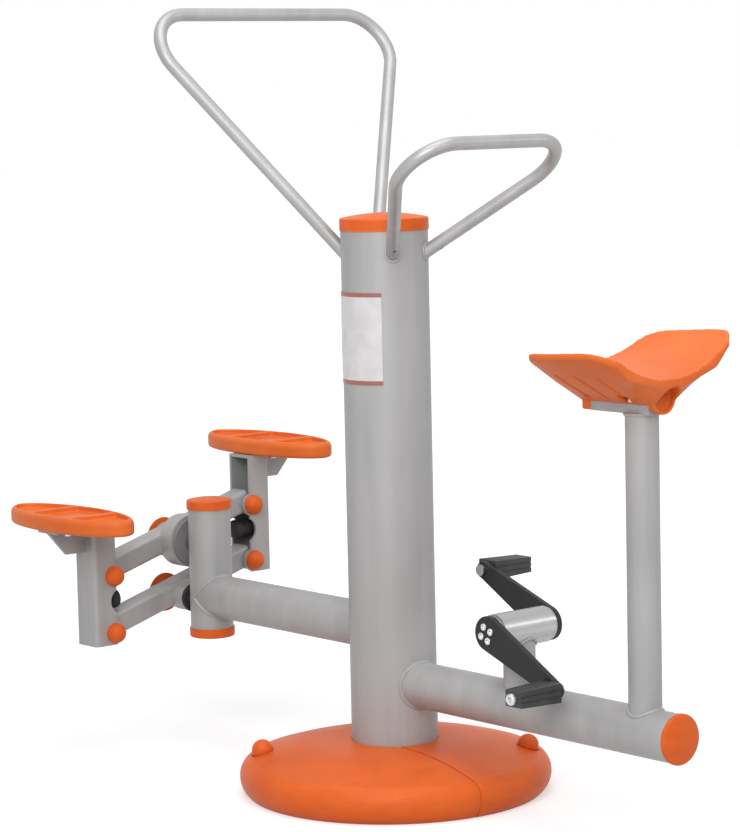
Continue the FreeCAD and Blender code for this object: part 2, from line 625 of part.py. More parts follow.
# Stepper feet: a channel hung on both beams, with a carrier plate and gusset under the oval footplate
def foot(side, name):
    upper_pin = pin(upper_pivot, side)
    lower_pin = pin(lower_pivot, side)
    pins = (upper_pin, lower_pin)
    outward = Y_AXIS * side
    half = FOOT_WIDTH / 2
    plate_top = upper_pin + Z_AXIS * PLATE_RISE
    carrier_top = plate_top - Z_AXIS * PLATE_T
    carrier_z = carrier_top.z - CARRIER_T
    web = upper_pin.y + side * FOOT_WEB_OUT
    edge = upper_pin.y - side * FOOT_EDGE_IN
    foot_z = lower_pin.z - FOOT_BELOW_PIN

    beyond = edge - side * FOOT_LOBE_R * 2
    channel = bent_bar(half, web, edge, FOOT_BEND_R, foot_z, carrier_z)
    lobes = [along_x(point, FOOT_WIDTH, FOOT_LOBE_R) for point in pins]
    channel = joined(channel, *lobes)
    channel = channel.cut(bent_bar(half - FOOT_WALL, web - side * FOOT_WALL, beyond, FOOT_BEND_R - FOOT_WALL,
                                   foot_z, carrier_z))
    for point in pins:
        channel = channel.cut(along_x(point, FOOT_WIDTH, FOOT_BOLT_D / 2 + FIT))
    buffer_axis = lower_pin + Z_AXIS * BUFFER_RISE
    notch = Vector(BEAM_X, edge - side * (NOTCH_R - NOTCH_DEPTH), buffer_axis.z)
    channel = channel.cut(along_x(notch, FOOT_WIDTH, NOTCH_R))
    save(name + "_foot_channel", channel)

    screws = [Vector(BEAM_X + x, upper_pin.y + side * out, carrier_z)
              for x in (-PLATE_SCREW_X, PLATE_SCREW_X) for out in PLATE_SCREW_OUT]
    screw_end = CARRIER_T + PLATE_SCREW_DEPTH
    screw_holes = Part.makeCompound([rod(PLATE_SCREW_D / 2 + FIT, p, p + Z_AXIS * screw_end)
                                     for p in screws])
    carrier = block(Vector(BEAM_X - CARRIER_WIDTH / 2, edge, carrier_z),
                    Vector(BEAM_X + CARRIER_WIDTH / 2, web + side * CARRIER_OUT, carrier_top.z))
    save(name + "_foot_carrier", carrier.cut(screw_holes))
    gusset_start = Vector(BEAM_X - FOOT_GUSSET_T / 2, web, carrier_z)
    gusset_low = gusset_start - Z_AXIS * FOOT_GUSSET_DEPTH
    gusset_outline = [gusset_start, gusset_start + outward * CARRIER_OUT,
                      gusset_low + outward * FOOT_GUSSET_FOOT, gusset_low]
    save(name + "_foot_gusset", slab(gusset_outline, X_AXIS * FOOT_GUSSET_T))

    centre = carrier_top + outward * PLATE_OUT
    plate = oval(centre, PLATE_LENGTH, PLATE_WIDTH, PLATE_T)
    plate = plate.makeFillet(PLATE_EDGE_R, [rim for rim in plate.Edges if rim.isClosed()])
    recess = oval(centre + Z_AXIS * (PLATE_T - PLATE_RECESS), PLATE_LENGTH - 2 * PLATE_RIM,
                  PLATE_WIDTH - 2 * PLATE_RIM, PLATE_RECESS)
    for x in (-PLATE_RIB_X, PLATE_RIB_X):
        recess = recess.cut(block(centre + Vector(x - PLATE_RIB / 2, -PLATE_WIDTH, 0),
                                  centre + Vector(x + PLATE_RIB / 2, PLATE_WIDTH, PLATE_T)))
    save(name + "_footplate", plate.cut(recess).cut(screw_holes))
    save(name + "_footplate_screws",
         *[joined(rod(PLATE_SCREW_HEAD_D / 2, p - Z_AXIS * PLATE_SCREW_HEAD, p),
                  rod(PLATE_SCREW_D / 2, p, p + Z_AXIS * screw_end)) for p in screws])

    bolt_length = FOOT_WIDTH + FOOT_BOLT_HEAD + FOOT_BOLT_SPARE
    bolts, ball_caps = [], []
    for point in pins:
        head_seat = point + X_AXIS * half
        bolt_nut_seat = point - X_AXIS * half
        bolts.append(hex_bolt(FOOT_BOLT_FLATS, FOOT_BOLT_HEAD, FOOT_BOLT_D, bolt_length, head_seat,
                              X_AXIS * -1))
        bolts.append(hex_nut(FOOT_BOLT_FLATS, FOOT_BOLT_HEAD, FOOT_BOLT_D, bolt_nut_seat, X_AXIS * -1))
        ball_caps += [ball_cap(head_seat, X_AXIS), ball_cap(bolt_nut_seat, X_AXIS * -1)]
    save(name + "_foot_bolts", *bolts)
    save(name + "_foot_caps", *ball_caps)
    save(name + "_buffer", rod(BUFFER_D / 2, buffer_axis + outward * (FOOT_WEB_OUT - FOOT_WALL),
                               buffer_axis - outward * BUFFER_IN))


def bent_bar(half_width, back, front, radius, low, high):
    """Upright bar across the beams' plane with its two edges at the back rounded."""
    bar = block(Vector(BEAM_X - half_width, back, low), Vector(BEAM_X + half_width, front, high))
    corners = [e for e in bar.Edges if abs(e.CenterOfMass.y - back) < FIT and abs(e.tangentAt(0).z) > 0.5]
    return bar.makeFillet(radius, corners)


def oval(base, length, width, height):
    """Upright oval prism, long along X."""
    ring = Part.Ellipse(base, length / 2, width / 2).toShape()
    return Part.Face(Part.Wire([ring])).extrude(Z_AXIS * height)


foot(NEAR, "near")
foot(FAR, "far")

# Bike arm, closed by a cap at its end
bike_arm_end = Vector(SEAT_POST_X + BIKE_ARM_BEYOND, 0, BIKE_ARM_Z)
bike_arm_solid = rod(ARM_R, Vector(0, 0, BIKE_ARM_Z), bike_arm_end)
bike_arm = pipe(ARM_D, ARM_D - 2 * ARM_WALL, Vector(0, 0, BIKE_ARM_Z), bike_arm_end)
save("bike_arm", bike_arm.cut(post_solid))
save("bike_arm_cap", tube_cap(ARM_D, ARM_WALL, ARM_CAP_OVERHANG, ARM_CAP_SIDE, ARM_CAP_DOME,
                              bike_arm_end, X_AXIS))

# Crank carrier: a short upright tube and a cross tube with a bearing at each end
crank_centre = Vector(CRANK_X, 0, CRANK_Z)


def at_y(point, y):
    return Vector(point.x, y, point.z)


shell_ends = [at_y(crank_centre, side * SHELL_HALF) for side in (NEAR, FAR)]
shell_solid = rod(SHELL_D / 2, *shell_ends)
bracket = pipe(BRACKET_D, BRACKET_D - 2 * BRACKET_WALL, Vector(CRANK_X, 0, BIKE_ARM_Z), crank_centre)
save("crank_bracket", bracket.cut(bike_arm_solid).cut(shell_solid))
save("crank_shell", shell_solid.cut(rod(SHELL_BORE_D / 2, *shell_ends)))
save("crank_bearings", *[pipe(SHELL_BORE_D - 2 * FIT, CRANK_AXLE_D + 2 * FIT,
                              at_y(crank_centre, side * (SHELL_HALF - CRANK_BEARING_W)),
                              at_y(crank_centre, side * SHELL_HALF)) for side in (NEAR, FAR)])

# Crank axle with an end flange for each crank
flange_start = SHELL_HALF + FACE_GAP
crank_inner = flange_start + CRANK_FLANGE_T
crank_outer = crank_inner + CRANK_T
crank_turn = math.radians(CRANK_DROP)
screw_spots = [Vector(math.cos(a), 0, math.sin(a)) * (CRANK_SCREW_PCD / 2)
               for a in (2 * math.pi * (k + 0.25) / CRANK_SCREW_COUNT for k in range(CRANK_SCREW_COUNT))]
crank_screws = []
screw_length = CRANK_T + CRANK_FLANGE_T
for side in (NEAR, FAR):
    for spot in screw_spots:
        seat = at_y(crank_centre + spot, side * crank_outer)
        into = Y_AXIS * -side
        crank_screws.append(joined(rod(CRANK_SCREW_HEAD_D / 2, seat, seat - into * CRANK_SCREW_HEAD),
                                   rod(CRANK_SCREW_D / 2, seat, seat + into * screw_length)))
screw_bores = Part.makeCompound([rod(CRANK_SCREW_D / 2 + FIT,
                                     at_y(crank_centre + spot, side * flange_start),
                                     at_y(crank_centre + spot, side * crank_outer))
                                 for side in (NEAR, FAR) for spot in screw_spots])
axle = rod(CRANK_AXLE_D / 2, at_y(crank_centre, -crank_inner),
           at_y(crank_centre, crank_inner))
for side in (NEAR, FAR):
    axle = axle.fuse(rod(CRANK_FLANGE_D / 2, at_y(crank_centre, side * flange_start),
                         at_y(crank_centre, side * crank_inner)))
save("crank_axle", axle.removeSplitter().cut(screw_bores).Solids[0])
save("crank_screws", *crank_screws)

# Cranks, the pedal axles bolted into their tips, and the pedals that turn on them
pedal_start = crank_outer + FACE_GAP
pedal_end = pedal_start + PEDAL_LENGTH
pedal_axles, pedal_nuts = [], []
for side, name in ((NEAR, "near"), (FAR, "far")):
    towards = Vector(math.cos(crank_turn), 0, -math.sin(crank_turn)) * -side
    square = Vector(math.sin(crank_turn), 0, math.cos(crank_turn)) * -side
    tip = crank_centre + towards * CRANK_LENGTH
    lean = math.asin((CRANK_HUB_R - CRANK_TIP_R) / CRANK_LENGTH)
    flank = {up: towards * math.sin(lean) + square * (up * math.cos(lean)) for up in (-1, 1)}
    outline = [crank_centre + flank[1] * CRANK_HUB_R, tip + flank[1] * CRANK_TIP_R,
               tip + flank[-1] * CRANK_TIP_R, crank_centre + flank[-1] * CRANK_HUB_R]
    web = slab([at_y(p, side * crank_inner) for p in outline], Y_AXIS * (side * CRANK_T))
    hub = rod(CRANK_HUB_R, at_y(crank_centre, side * crank_inner),
              at_y(crank_centre, side * crank_outer))
    end = rod(CRANK_TIP_R, at_y(tip, side * crank_inner), at_y(tip, side * crank_outer))
    axle_hole = rod(PEDAL_AXLE_D / 2 + FIT, at_y(tip, side * crank_inner),
                    at_y(tip, side * pedal_end))
    crank = joined(web, hub, end)
    crank = crank.makeFillet(CRANK_EDGE_R, [e for e in crank.Edges if e.BoundBox.YLength < FIT])
    save(name + "_crank", crank.cut(screw_bores).cut(axle_hole))

    nut_face = pedal_end + FACE_GAP
    axle_end = nut_face + PEDAL_NUT_T
    pedal_axles.append(joined(rod(PEDAL_HEAD_D / 2, at_y(tip, side * (crank_inner - PEDAL_HEAD)),
                                  at_y(tip, side * crank_inner)),
                              rod(PEDAL_AXLE_D / 2, at_y(tip, side * crank_inner),
                                  at_y(tip, side * axle_end))))
    pedal_nuts.append(hex_nut(PEDAL_NUT_FLATS, PEDAL_NUT_T, PEDAL_AXLE_D, at_y(tip, side * nut_face),
                              Y_AXIS * side))
    sections = [rounded_rectangle(-w / 2, w / 2, -h / 2, h / 2, PEDAL_CORNER_R, z)
                for (w, h), z in ((PEDAL_ROOT, pedal_start), (PEDAL_END, pedal_end))]
    pedal = Part.makeLoft(sections, True, True)
    pedal = placed(pedal, at_y(tip, 0), Y_AXIS * side)
    save(name + "_pedal", pedal.cut(axle_hole))
save("pedal_axles", *pedal_axles)
save("pedal_nuts", *pedal_nuts)

# Seat post, and the mount bar welded on it with an upright rib
seat_post = pipe(SEAT_POST_D, SEAT_POST_D - 2 * SEAT_POST_WALL, Vector(SEAT_POST_X, 0, BIKE_ARM_Z),
                 Vector(SEAT_POST_X, 0, SEAT_POST_TOP))
save("seat_post", seat_post.cut(bike_arm_solid))
mount_top = SEAT_POST_TOP + MOUNT_T
mount_start = SEAT_POST_X - MOUNT_FRONT
mount_end = SEAT_POST_X + MOUNT_REAR
rib_low = Vector(mount_start + MOUNT_RIB_INSET, -MOUNT_RIB_T / 2, mount_top)
rib_high = Vector(mount_end - MOUNT_RIB_INSET, MOUNT_RIB_T / 2, mount_top + MOUNT_RIB_H)
saddle_bolt = Vector(SEAT_POST_X + SADDLE_BOLT_X, 0, mount_top + SADDLE_BOLT_UP)
bolt_reach = SADDLE_KEEL / 2
widest = max(section[1] for section in SADDLE_SECTIONS)
saddle_bolt_hole = rod(SADDLE_BOLT_D / 2 + FIT, at_y(saddle_bolt, -widest),
                       at_y(saddle_bolt, widest))
mount = joined(block(Vector(mount_start, -MOUNT_WIDTH / 2, SEAT_POST_TOP),
                     Vector(mount_end, MOUNT_WIDTH / 2, mount_top)), block(rib_low, rib_high))
save("seat_mount", mount.cut(saddle_bolt_hole))


# Saddle: a moulded hull that widens from the mount bar to two wings, with a trough along X between them
def saddle_section(x, half_width, rim, trough, bend_half, bend, underside):
    """Closed wire across the saddle: wing edges, bent flanks, keel and trough."""
    keel = SADDLE_KEEL / 2

    def point(y, z):
        return Vector(SEAT_POST_X + x, y, mount_top + z)

    wing_edge = rim - SADDLE_RIM_T
    corners = [point(half_width, rim), point(half_width, wing_edge), point(bend_half, bend),
               point(keel, underside), point(-keel, underside), point(-bend_half, bend),
               point(-half_width, wing_edge), point(-half_width, rim)]
    edges = [Part.LineSegment(a, b).toShape() for a, b in zip(corners, corners[1:])]
    edges.append(Part.Arc(corners[-1], point(0, trough), corners[0]).toShape())
    return Part.Wire(edges)


saddle = Part.makeLoft([saddle_section(*section) for section in SADDLE_SECTIONS], True, False)
saddle_base = Vector(SEAT_POST_X, 0, mount_top)
saddle = saddle.rotated(saddle_base, X_AXIS, SADDLE_CANT)
saddle_front = SEAT_POST_X + SADDLE_SECTIONS[0][0]
lip = block(Vector(saddle_front, -SADDLE_KEEL / 2, mount_top - SADDLE_LIP_DEPTH),
            Vector(mount_start - SIDE_GAP, SADDLE_KEEL / 2, mount_top + SADDLE_BOLT_UP))
boss_start = Vector(mount_end + SIDE_GAP, 0, mount_top + SADDLE_BOSS_RAISE)
boss_end = boss_start + X_AXIS * SADDLE_BOSS_LENGTH
saddle = joined(saddle, lip, rod(SADDLE_BOSS_D / 2, boss_start, boss_end))
socket_floor = boss_end - X_AXIS * SADDLE_SOCKET_DEPTH
saddle = saddle.cut(rod(SADDLE_SOCKET_D / 2, socket_floor, boss_end + X_AXIS * widest))
bar_low = Vector(mount_start - SIDE_GAP, -widest, SEAT_POST_TOP)
saddle = saddle.cut(block(bar_low, Vector(mount_end + SIDE_GAP, widest, mount_top)))
saddle = saddle.cut(block(rib_low - Vector(SIDE_GAP, SIDE_GAP / 2, SIDE_GAP),
                          rib_high + Vector(SIDE_GAP, SIDE_GAP / 2, SIDE_GAP))).cut(saddle_bolt_hole)
for side in (NEAR, FAR):
    saddle = saddle.cut(rod(SADDLE_POCKET_D / 2, at_y(saddle_bolt, side * bolt_reach),
                            at_y(saddle_bolt, side * widest)))
    hole = Vector(SEAT_POST_X + SADDLE_HOLE_X, side * SADDLE_KEEL / 2, saddle_bolt.z)
    saddle = saddle.cut(rod(SADDLE_HOLE_D / 2, at_y(hole, hole.y - side * SADDLE_HOLE_DEPTH),
                            at_y(hole, side * widest)))
save("saddle", saddle)
bolt_length = 2 * bolt_reach + SADDLE_NUT_T
save("saddle_bolt",
     hex_bolt(SADDLE_BOLT_FLATS, SADDLE_BOLT_HEAD, SADDLE_BOLT_D, bolt_length,
              at_y(saddle_bolt, -bolt_reach), Y_AXIS),
     hex_nut(SADDLE_BOLT_FLATS, SADDLE_NUT_T, SADDLE_BOLT_D, at_y(saddle_bolt, bolt_reach), Y_AXIS))
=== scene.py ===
# Outdoor bike and stepper station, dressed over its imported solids. Metres, +Z up, the post on the Z axis,
# the bike towards +X, the stepper towards -X, and the near side towards -Y.
import math
import bmesh
import bpy
from mathutils import Matrix, Vector


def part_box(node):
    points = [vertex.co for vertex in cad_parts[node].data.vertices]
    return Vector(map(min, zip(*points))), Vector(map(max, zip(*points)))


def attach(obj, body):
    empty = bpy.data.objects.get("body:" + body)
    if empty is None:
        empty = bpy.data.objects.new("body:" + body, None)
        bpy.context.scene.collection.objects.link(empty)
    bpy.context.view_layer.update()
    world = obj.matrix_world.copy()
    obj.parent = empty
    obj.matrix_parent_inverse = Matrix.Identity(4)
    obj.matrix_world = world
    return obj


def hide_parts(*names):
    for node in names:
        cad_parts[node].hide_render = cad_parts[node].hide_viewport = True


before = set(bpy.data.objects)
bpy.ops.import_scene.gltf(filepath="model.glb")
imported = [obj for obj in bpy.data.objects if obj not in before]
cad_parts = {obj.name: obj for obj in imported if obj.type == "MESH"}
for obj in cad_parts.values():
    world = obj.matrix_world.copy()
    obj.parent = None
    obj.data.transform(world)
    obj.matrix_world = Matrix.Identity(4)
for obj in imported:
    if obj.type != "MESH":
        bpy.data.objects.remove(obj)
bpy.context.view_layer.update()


# Base plate, gussets and pillars: welded steel plate under the cover, bolted down by four anchors.
# It has the same silver-grey powder coat as the frame above it.
class Field:
    """A value that changes over a surface. Arithmetic on it adds Math nodes to its node tree."""

    def __init__(self, nodes, socket):
        self.nodes = nodes
        self.socket = socket

    def math(self, operation, left, right):
        return self.nodes.node("ShaderNodeMath", {"operation": operation}, {0: left, 1: right})

    def __add__(self, other):
        return self.math("ADD", self, other)

    def __sub__(self, other):
        return self.math("SUBTRACT", self, other)

    def __rsub__(self, other):
        return self.math("SUBTRACT", other, self)

    def __mul__(self, other):
        return self.math("MULTIPLY", self, other)

    def above(self, limit):
        return self.math("GREATER_THAN", self, limit)

    __radd__ = __add__
    __rmul__ = __mul__


class Nodes:
    """A node tree in the making."""

    def __init__(self, tree):
        self.tree = tree

    def node(self, kind, settings=(), inputs=(), output=0):
        made = self.tree.nodes.new(kind)
        for name, value in dict(settings).items():
            setattr(made, name, value)
        for name, value in dict(inputs).items():
            self.feed(made.inputs[name], value)
        return Field(self, made.outputs[output])

    def feed(self, socket, value):
        if isinstance(value, Field):
            self.tree.links.new(value.socket, socket)
        else:
            socket.default_value = value


class Finish(Nodes):
    """A material in the making: a Principled shader and the nodes that feed it."""

    def __init__(self, name, **constants):
        self.material = bpy.data.materials.new(name)
        self.material.use_nodes = True
        super().__init__(self.material.node_tree)
        self.shader = self.tree.nodes["Principled BSDF"]
        for socket, value in constants.items():
            self.shader.inputs[socket.replace("_", " ")].default_value = value
        self.place = self.node("ShaderNodeTexCoord", output="Object")

    def noise(self, scale, detail=2.0, stretch=(1, 1, 1), distortion=0.0):
        spread = self.node("ShaderNodeMapping", {}, {"Vector": self.place, "Scale": stretch})
        return self.node("ShaderNodeTexNoise", {}, {"Vector": spread, "Scale": scale, "Detail": detail,
                                                    "Distortion": distortion})

    def stretched(self, value, low, high):
        """The value's part between two limits, spread over 0 to 1."""
        limits = {"Value": value, "From Min": low, "From Max": high}
        return self.node("ShaderNodeMapRange", {"clamp": True}, limits)

    def mixed(self, factor, first, second):
        return self.node("ShaderNodeMix", {"data_type": "RGBA"}, {0: factor, 6: first, 7: second}, output=2)

    def surface(self, colour, roughness, height, bump, distance):
        self.feed(self.shader.inputs["Base Color"], colour)
        self.feed(self.shader.inputs["Roughness"], roughness)
        normal = self.node("ShaderNodeBump", {}, {"Strength": bump, "Distance": distance, "Height": height})
        self.feed(self.shader.inputs["Normal"], normal)
        return self.material


def dress(material, *nodes):
    """Give CAD nodes a material."""
    for node in nodes:
        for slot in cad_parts[node].material_slots:
            slot.material = material


def grey_paint(name, metallic, roughness, dark, pale):
    """Silver-grey powder coat, a little cloudy and streaked."""
    paint = Finish(name, Metallic=metallic, Specular_IOR_Level=0.4)
    cloud = paint.stretched(paint.noise(4.0, 3.0), 0.3, 0.7)
    streak = paint.stretched(paint.noise(1.0, 2.0, (30, 30, 2)), 0.35, 0.7)
    flake = paint.noise(1700.0, 1.0)
    peel = paint.noise(380.0, 2.0)
    tone = cloud * 0.5 + streak * 0.4 + flake * 0.1
    tint = Vector((1, 0.99, 0.988))
    colour = paint.mixed(tone, (*tint * dark, 1), (*tint * pale, 1))
    return paint.surface(colour, roughness + cloud * 0.12, peel, 0.05, 0.0003)


frame_paint = grey_paint("grey_paint", 0.15, 0.43, 0.325, 0.43)
dress(frame_paint, "base_plate", "base_gussets", "cover_pillars")


# Base cover: two equal halves of moulded orange plastic that lap under the arms. One bolt holds each half,
# and a ball cap is pushed over the bolt's head.
def orange_plastic(name, dark, pale):
    plastic = Finish(name, Specular_IOR_Level=0.18)
    cloud = plastic.stretched(plastic.noise(5.0, 3.0), 0.3, 0.7)
    flow = plastic.stretched(plastic.noise(13.0, 3.0, (1, 1, 2.5), 1.2), 0.3, 0.72)
    grain = plastic.noise(900.0, 2.0)
    scuff = plastic.stretched(plastic.noise(60.0, 5.0, (1, 6, 3), 0.6), 0.66, 0.74)
    tone = cloud * 0.55 + flow * 0.45
    worn = (0.86, 0.36, 0.17, 1)
    colour = plastic.mixed(tone, dark, pale)
    colour = plastic.mixed(scuff * 0.22, colour, worn)
    return plastic.surface(colour, 0.4 + flow * 0.1 + scuff * 0.12, grain, 0.1, 0.0006)


def zinc_plate():
    zinc = Finish("zinc_plate", Metallic=1.0)
    patch = zinc.stretched(zinc.noise(160.0, 3.0), 0.3, 0.7)
    grain = zinc.noise(2400.0, 2.0)
    colour = zinc.mixed(patch, (0.5, 0.505, 0.51, 1), (0.7, 0.7, 0.69, 1))
    return zinc.surface(colour, 0.26 + patch * 0.16, grain, 0.12, 0.0003)


cap_plastic = orange_plastic("cap_plastic", (0.62, 0.095, 0.012, 1), (0.77, 0.138, 0.022, 1))
bolt_zinc = zinc_plate()
dress(cap_plastic, "cover_near_half", "cover_far_half", "cover_bolt_caps")
dress(bolt_zinc, "cover_bolts")


# Main post: one wide steel tube with a moulded cap on top. A bare white sheet, with a plain band at its top
# and bottom, is glued to its near side.
def white_sheet():
    band = 0.008
    low, high = (corner.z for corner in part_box("info_plate"))
    sheet = Finish("white_sheet", Specular_IOR_Level=0.5)
    height = sheet.node("ShaderNodeSeparateXYZ", {}, {0: sheet.place}, output=2)
    smudge = sheet.stretched(sheet.noise(28.0, 4.0), 0.35, 0.75)
    fibre = sheet.noise(1300.0, 2.0)
    bands = height.above(high - band) + (1 - height.above(low + band))
    paper = sheet.mixed(smudge, (0.66, 0.65, 0.65, 1), (0.57, 0.56, 0.56, 1))
    colour = sheet.mixed(bands, paper, (0.34, 0.12, 0.105, 1))
    return sheet.surface(colour, 0.32 + smudge * 0.14, fibre, 0.06, 0.0003)


dress(frame_paint, "main_post")
dress(cap_plastic, "post_cap")
dress(white_sheet(), "info_plate")


# Tube handles: one bent steel tube each, with a glossier coat than the frame's. A weld bead runs round each
# of its two feet on the post, and a small vent hole beside it lets the zinc bath in.
def piece(name, mesh, body, slot, material, *replaced, crease=38):
    """Turn a finished bmesh into a piece that rides on a body. Edges sharper than the crease stay sharp."""
    data = bpy.data.meshes.new(name)
    mesh.to_mesh(data)
    mesh.free()
    data.shade_smooth()
    data.set_sharp_from_angle(angle=math.radians(crease))
    data.materials.append(material)
    made = bpy.data.objects.new(name, data)
    bpy.context.scene.collection.objects.link(made)
    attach(made, body)
    if replaced:
        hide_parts(*replaced)


def onto_tube(point, axis, radius):
    """A function that says how far a point has to slide in a direction to meet a round tube."""
    def slide(start, along):
        across = along - axis * along.dot(axis)
        away = (start - point) - axis * (start - point).dot(axis)
        half = away.dot(across)
        room = half ** 2 - across.length_squared * (away.length_squared - radius ** 2)
        return (-half - math.sqrt(max(room, 0))) / across.length_squared
    return slide


def weld(name, tube_r, start, along, slide, bead=0.0042, ripple=0.10, ripple_length=0.0042):
    """Bead round a tube: a small circle spun round the tube's axis and slid along it onto the other part."""
    along = Vector(along).normalized()
    start = Vector(start)
    ripples = round(2 * math.pi * tube_r / ripple_length)
    mesh = bmesh.new()
    upright = Matrix.Translation((tube_r, 0, 0)) @ Matrix.Rotation(math.pi / 2, 4, "X")
    bmesh.ops.create_circle(mesh, segments=8, radius=bead, matrix=upright)
    bmesh.ops.spin(mesh, geom=mesh.verts[:] + mesh.edges[:], cent=(0, 0, 0), axis=(0, 0, 1),
                   angle=2 * math.pi, steps=4 * ripples, use_merge=True)
    bmesh.ops.remove_doubles(mesh, verts=mesh.verts, dist=1e-6)
    turn = Vector((0, 0, 1)).rotation_difference(along).to_matrix()
    for vertex in mesh.verts:
        around = math.atan2(vertex.co.y, vertex.co.x)
        middle = Vector((tube_r * math.cos(around), tube_r * math.sin(around), 0))
        swell = 1 + ripple * math.cos(ripples * around)
        wall = start + turn @ middle
        vertex.co = wall + turn @ (vertex.co - middle) * swell + along * slide(wall, along)
    bmesh.ops.recalc_face_normals(mesh, faces=mesh.faces)
    piece(name, mesh, "frame", "grey_steel", frame_paint)


sides = ((-1, "near"), (1, "far"))
up = Vector((0, 0, 1))
post_r = 0.08415
handle_r = 0.0127
handle_bead = 0.0032
bead_start = 0.1
foot_turn = math.radians(30)
handle_foot = Vector((post_r * math.cos(foot_turn), post_r * math.sin(foot_turn), 1.049))
handle_bends = (("stepper_handle", -1, (0.352, 0.338, 1.51)), ("bike_handle", 1, (0.328, 0.244, 1.258)))
onto_post = onto_tube(Vector(), up, post_r)
handle_paint = grey_paint("handle_paint", 0.45, 0.36, 0.33, 0.44)
dress(handle_paint, "stepper_handle", "bike_handle")
for handle, facing, bend in handle_bends:
    for side, hand in sides:
        mirrored = Matrix.Diagonal((facing, side, 1))
        foot = mirrored @ handle_foot
        leg = (mirrored @ Vector(bend) - foot).normalized()
        weld(handle + "_weld_" + hand, handle_r, foot + leg * bead_start, -leg, onto_post, handle_bead)

# Stepper arm and column: two steel tubes of one size, mitred and welded, with a moulded cap in each end of
# the column.
arm_r = 0.04445
stepper_arm_z = 0.315
column_x = -0.583
onto_column = onto_tube(Vector((column_x, 0, 0)), up, arm_r)
dress(frame_paint, "stepper_arm", "pivot_column")
dress(cap_plastic, "column_caps")
weld("stepper_arm_post_weld", arm_r, (-0.3, 0, stepper_arm_z), (1, 0, 0), onto_post)
weld("stepper_arm_column_weld", arm_r, (-0.4, 0, stepper_arm_z), (-1, 0, 0), onto_column)


# Pivots: turned steel shafts in the column's wall, the upper with a steel shield whose darker grey is
# painted shade, the lower with a rubber seal. Each has a plated washer and nut, and a moulded dome cap over
# the nut.
def turned_steel():
    steel = Finish("turned_steel", Metallic=1.0)
    ring = steel.noise(240.0, 3.0)
    fine = steel.noise(2200.0, 2.0)
    colour = steel.mixed(ring, (0.30, 0.30, 0.305, 1), (0.42, 0.42, 0.425, 1))
    return steel.surface(colour, 0.24 + ring * 0.16, fine, 0.1, 0.0003)


def black_rubber():
    rubber = Finish("black_rubber", Specular_IOR_Level=0.3)
    bloom = rubber.stretched(rubber.noise(22.0, 4.0), 0.4, 0.75)
    grain = rubber.noise(1100.0, 3.0)
    colour = rubber.mixed(bloom, (0.014, 0.014, 0.015, 1), (0.042, 0.041, 0.041, 1))
    return rubber.surface(colour, 0.62 + bloom * 0.2, grain, 0.25, 0.0005)


shaft_steel = turned_steel()
stop_rubber = black_rubber()
dress(shaft_steel, "upper_pivot_shaft", "lower_pivot_shaft")
# The shield's paint is a darker copy of the frame's grey: painted shade for a face that sits in shadow.
dress(grey_paint("shield_paint_painted_shade", 0.15, 0.5, 0.19, 0.26), "upper_pivot_shield")
dress(stop_rubber, "lower_pivot_seal")
dress(bolt_zinc, "pivot_washers", "pivot_nuts")
dress(cap_plastic, "pivot_caps")


# Stepper beams: welded steel with a hub in the middle and an eye at each end. The upper one turns on two
# bearings, the lower one on bushes, and all four eyes hold a bronze bush.
def bush_bronze():
    bronze = Finish("bush_bronze", Metallic=1.0)
    stain = bronze.stretched(bronze.noise(120.0, 4.0), 0.3, 0.7)
    pores = bronze.noise(1800.0, 2.0)
    colour = bronze.mixed(stain, (0.36, 0.23, 0.1, 1), (0.56, 0.38, 0.17, 1))
    return bronze.surface(colour, 0.34 + stain * 0.16, pores, 0.2, 0.0003)


dress(frame_paint, "upper_beam", "lower_beam")
dress(shaft_steel, "upper_beam_bearings")
dress(bush_bronze(), "upper_beam_bushes", "lower_beam_bushes")


# Stepper feet: a bent steel channel hung on both beams, with a carrier plate and gusset welded on. An oval
# plastic tray is screwed to the plate, ball caps cover the pins' bolts, and a rubber stop sits inside.
def lathed(profile, steps=48):
    """A closed profile of (r, height) points spun round Z. Its first and last points lie on the axis."""
    mesh = bmesh.new()
    line = [mesh.verts.new((r, 0, z)) for r, z in profile]
    for first, second in zip(line, line[1:]):
        mesh.edges.new((first, second))
    bmesh.ops.spin(mesh, geom=mesh.verts[:] + mesh.edges[:], cent=(0, 0, 0), axis=(0, 0, 1),
                   angle=2 * math.pi, steps=steps, use_merge=True)
    bmesh.ops.remove_doubles(mesh, verts=mesh.verts, dist=1e-6)
    bmesh.ops.recalc_face_normals(mesh, faces=mesh.faces)
    return mesh


def turned_stop(name, side):
    """Rubber stop with a round nose and two shallow grooves, its back on the channel's web."""
    low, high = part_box(name)
    radius = (high.z - low.z) / 2
    length = high.y - low.y
    groove, width, nose = 0.0022, 0.006, 0.006
    corner = 0.3 * nose
    profile = [(0, 0), (radius, 0)]
    for start in (0.3 * length, 0.6 * length):
        profile += [(radius, start), (radius - groove, start + width / 3),
                    (radius - groove, start + width), (radius, start + 1.33 * width)]
    profile += [(radius, length - nose), (radius - corner, length - corner),
                (radius - nose, length), (0, length)]
    mesh = lathed(profile)
    web = high.y if side > 0 else low.y
    place = Matrix.Translation(((low.x + high.x) / 2, web, (low.z + high.z) / 2))
    mesh.transform(place @ Matrix.Rotation(side * math.pi / 2, 4, "X"))
    return mesh


def slab(low, high):
    """Block between its lowest and highest corners."""
    low, high = Vector(low), Vector(high)
    stretch = Matrix.Diagonal((*(high - low), 1))
    mesh = bmesh.new()
    bmesh.ops.create_cube(mesh, size=1, matrix=Matrix.Translation((low + high) / 2) @ stretch)
    return mesh


